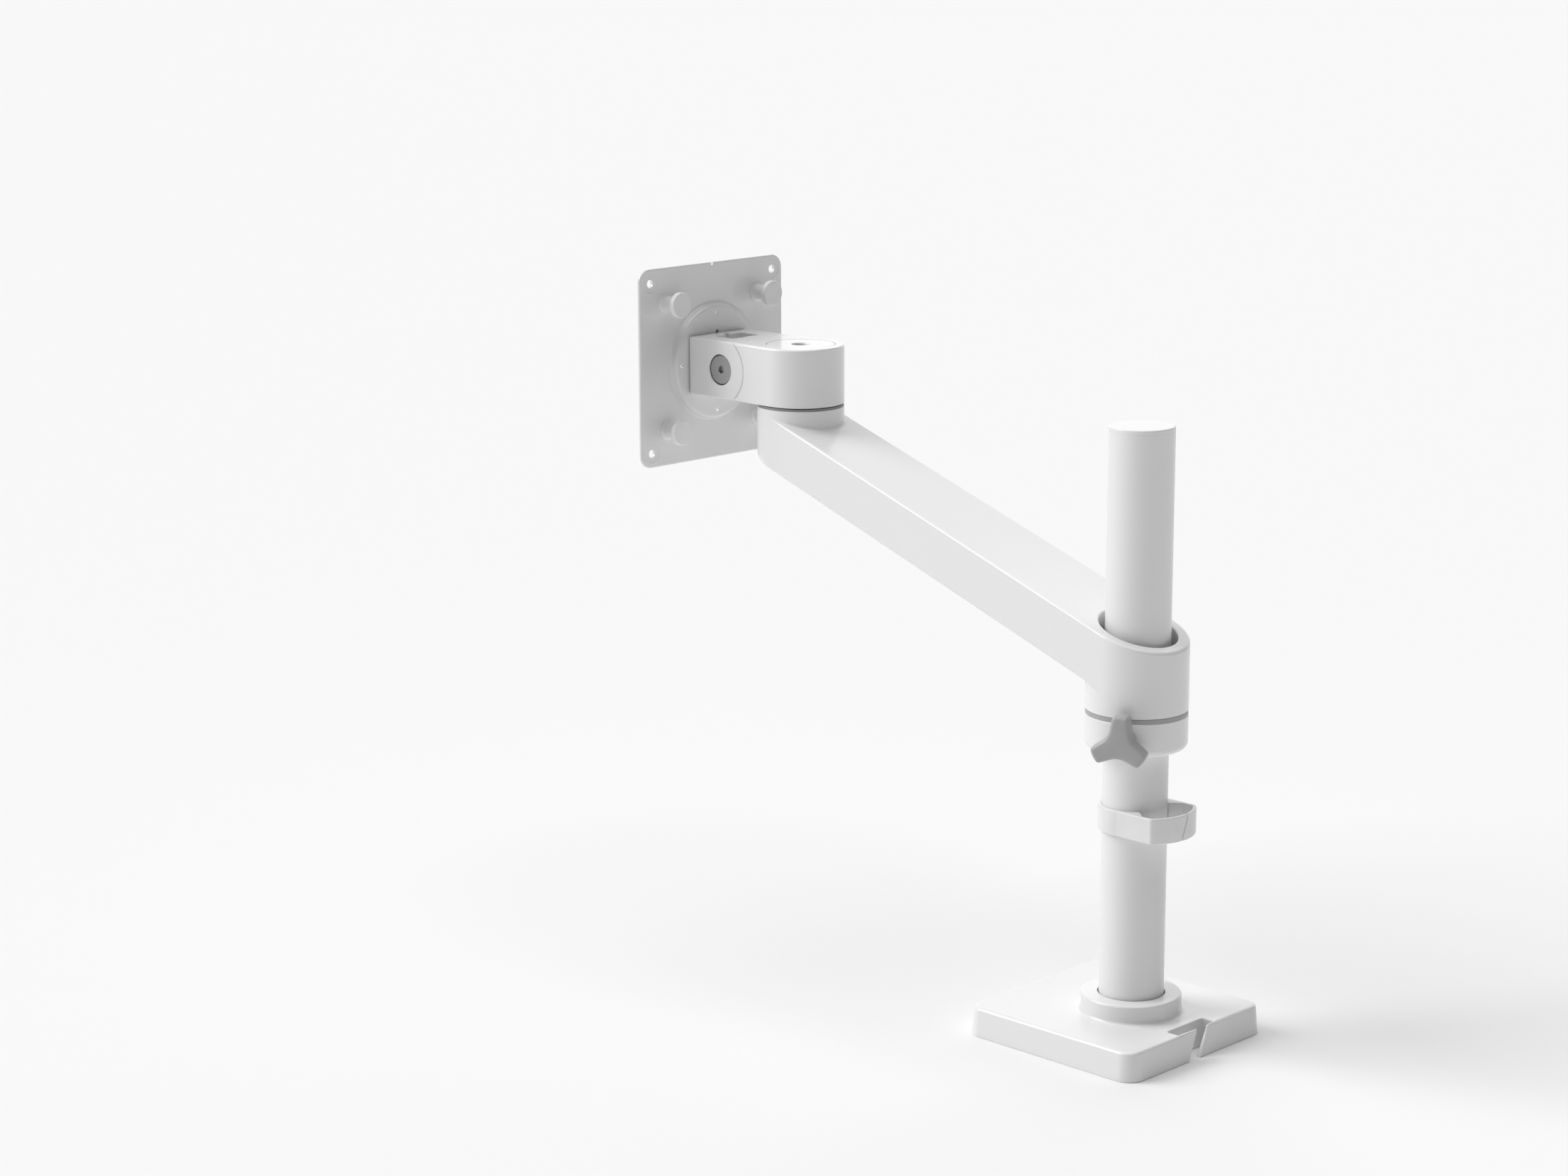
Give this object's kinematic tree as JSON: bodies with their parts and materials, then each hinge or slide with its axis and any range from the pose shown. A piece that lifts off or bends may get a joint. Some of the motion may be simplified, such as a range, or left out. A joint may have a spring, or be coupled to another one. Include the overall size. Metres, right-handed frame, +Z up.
{
  "type": "monitor arm",
  "caption": "White single-screen monitor arm: square base, round pole with cable clip and clamp collar, rising swivel arm, and a tilting, turning square screen plate.",
  "frame": {"origin": "on the pole's axis, at the underside of the base, where it meets the desk", "axes": "+Z up along the pole, -Y towards the person at the desk, which is the way the screen faces, +X to the right of the base seen from behind the screen plate"},
  "size_m": [0.1379, 0.3987, 0.3898],
  "materials": {
    "white_cast": "gloss",
    "white_tube": "gloss",
    "white_sheet": "gloss",
    "white_plastic": "gloss",
    "grey_plastic": "satin",
    "dark_plastic": "satin",
    "foam_pad": "matte",
    "steel": "satin",
    "zinc_steel": "satin",
    "brass": "satin"
  },
  "bodies": {
    "base": {"base_casting": "white_cast", "base_plate": "steel", "base_pad": "foam_pad", "base_screws": "zinc_steel", "pole": "white_tube", "pole_plug": "steel", "pole_bolt": "zinc_steel", "pole_end_cap": "white_plastic"},
    "cable_clip": {"cable_clip": "white_plastic"},
    "collar": {"collar": "white_cast", "thrust_washer": "grey_plastic", "thread_insert": "brass"},
    "shoe": {"pressure_shoe": "brass"},
    "knob": {"clamp_screw": "steel", "clamp_knob": "grey_plastic"},
    "arm": {"arm_casting": "white_cast", "lower_bushing": "dark_plastic", "upper_bushing": "dark_plastic", "arm_cable_guides": "dark_plastic", "pan_bolt": "steel", "pan_washer": "grey_plastic"},
    "head": {"head_casting": "white_cast", "pan_bushing": "dark_plastic", "pan_spring_washer": "zinc_steel", "head_cap": "white_plastic", "tilt_bushing": "dark_plastic"},
    "bracket": {"tilt_bracket": "white_cast", "tilt_bolt": "steel", "tilt_nut": "steel", "tilt_washers": "grey_plastic", "rotation_stud": "steel", "rotation_nut": "zinc_steel"},
    "plate": {"vesa_plate": "white_sheet", "plate_bushing": "dark_plastic", "friction_disc": "grey_plastic", "friction_liner": "grey_plastic", "thumb_screws": "white_plastic"}
  },
  "joints": [
    {"name": "clip_height", "type": "slide", "parent": "base", "child": "cable_clip", "axis": [0, 0, 1], "range_m": [-0.07, 0.03]},
    {"name": "collar_height", "type": "slide", "parent": "base", "child": "collar", "axis": [0, 0, 1], "range_m": [-0.02, 0.1]},
    {"name": "shoe_travel", "type": "slide", "parent": "collar", "child": "shoe", "axis": [0.9041, 0.4274, 0], "range_m": [0, 0.00124]},
    {"name": "knob_turn", "type": "hinge", "parent": "shoe", "child": "knob", "pos_m": [0.03707, 0.01752, 0.1729], "axis": [0.9041, 0.4274, 0], "range_deg": [0, 360]},
    {"name": "arm_swivel", "type": "hinge", "parent": "collar", "child": "arm", "pos_m": [0, 0, 0.1836], "axis": [0, 0, 1], "range_deg": [-170, 170]},
    {"name": "head_pan", "type": "hinge", "parent": "arm", "child": "head", "pos_m": [-0.02159, -0.26833, 0.31439], "axis": [0, 0, 1], "range_deg": [-90, 90]},
    {"name": "plate_tilt", "type": "hinge", "parent": "head", "child": "bracket", "pos_m": [-0.02159, -0.31083, 0.33135], "axis": [1, 0, 0], "range_deg": [-30, 30]},
    {"name": "plate_turn", "type": "hinge", "parent": "bracket", "child": "plate", "pos_m": [-0.02159, -0.31083, 0.33135], "axis": [0, 1, 0], "range_deg": [-90, 90]}
  ],
  "couplings": [
    {"joint": "knob_turn", "follows": "shoe_travel", "rad_per_m": 5026.5}
  ]
}
